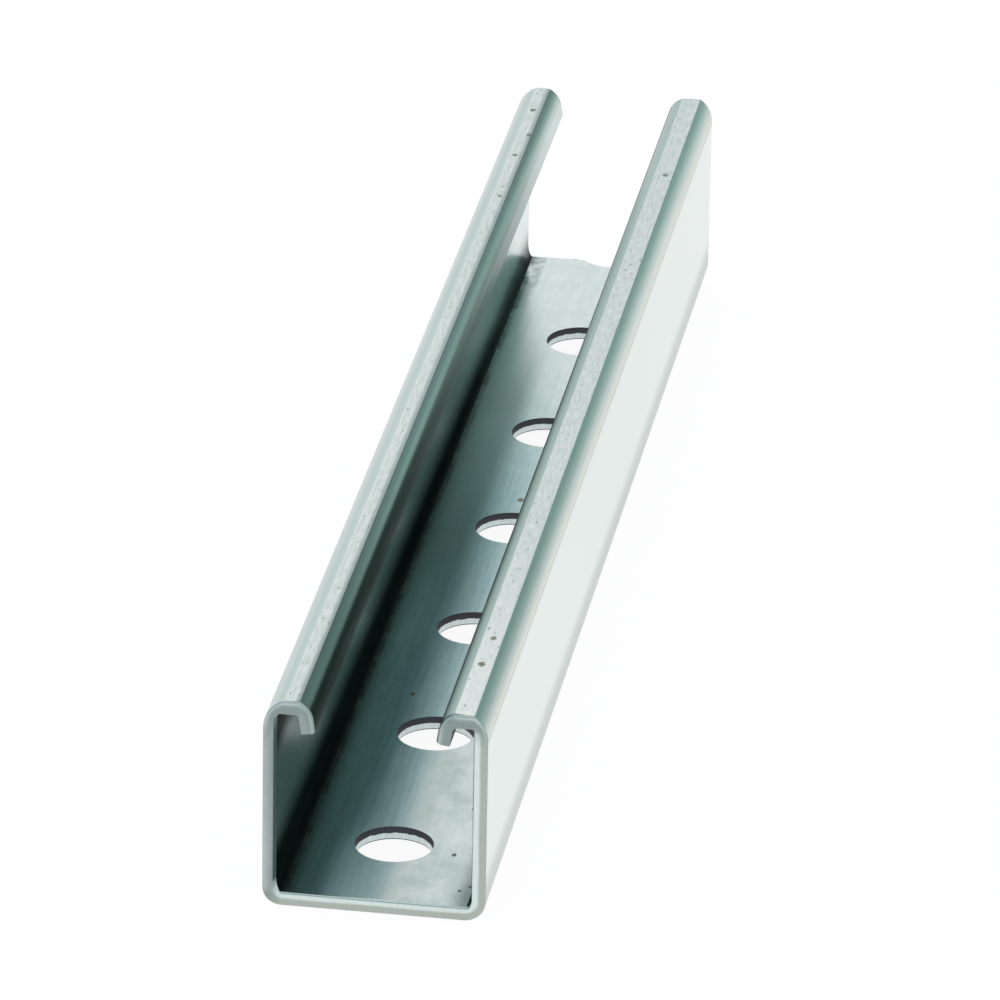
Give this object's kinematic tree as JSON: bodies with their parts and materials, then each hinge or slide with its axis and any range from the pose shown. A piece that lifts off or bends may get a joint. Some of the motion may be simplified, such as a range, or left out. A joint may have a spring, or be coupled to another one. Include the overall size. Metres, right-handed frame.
{
  "type": "strut channel",
  "caption": "Square strut channel of zinc-coated steel, with an open slot between two turned-in lips and a row of round bolt holes in its web.",
  "frame": {"origin": "middle of the web's outer face, half way along the bar", "axes": "+Y along the bar, away from the near cut end; +Z from the web out through the slot; +X across, to the right as seen from the near end"},
  "size_m": [0.0412, 0.3048, 0.0413],
  "materials": {
    "zinc_coated_steel": "bright zinc coat, semi-gloss, faint rolling streaks along its length"
  },
  "bodies": {
    "root": {"strut_channel": "zinc_coated_steel"}
  },
  "joints": []
}
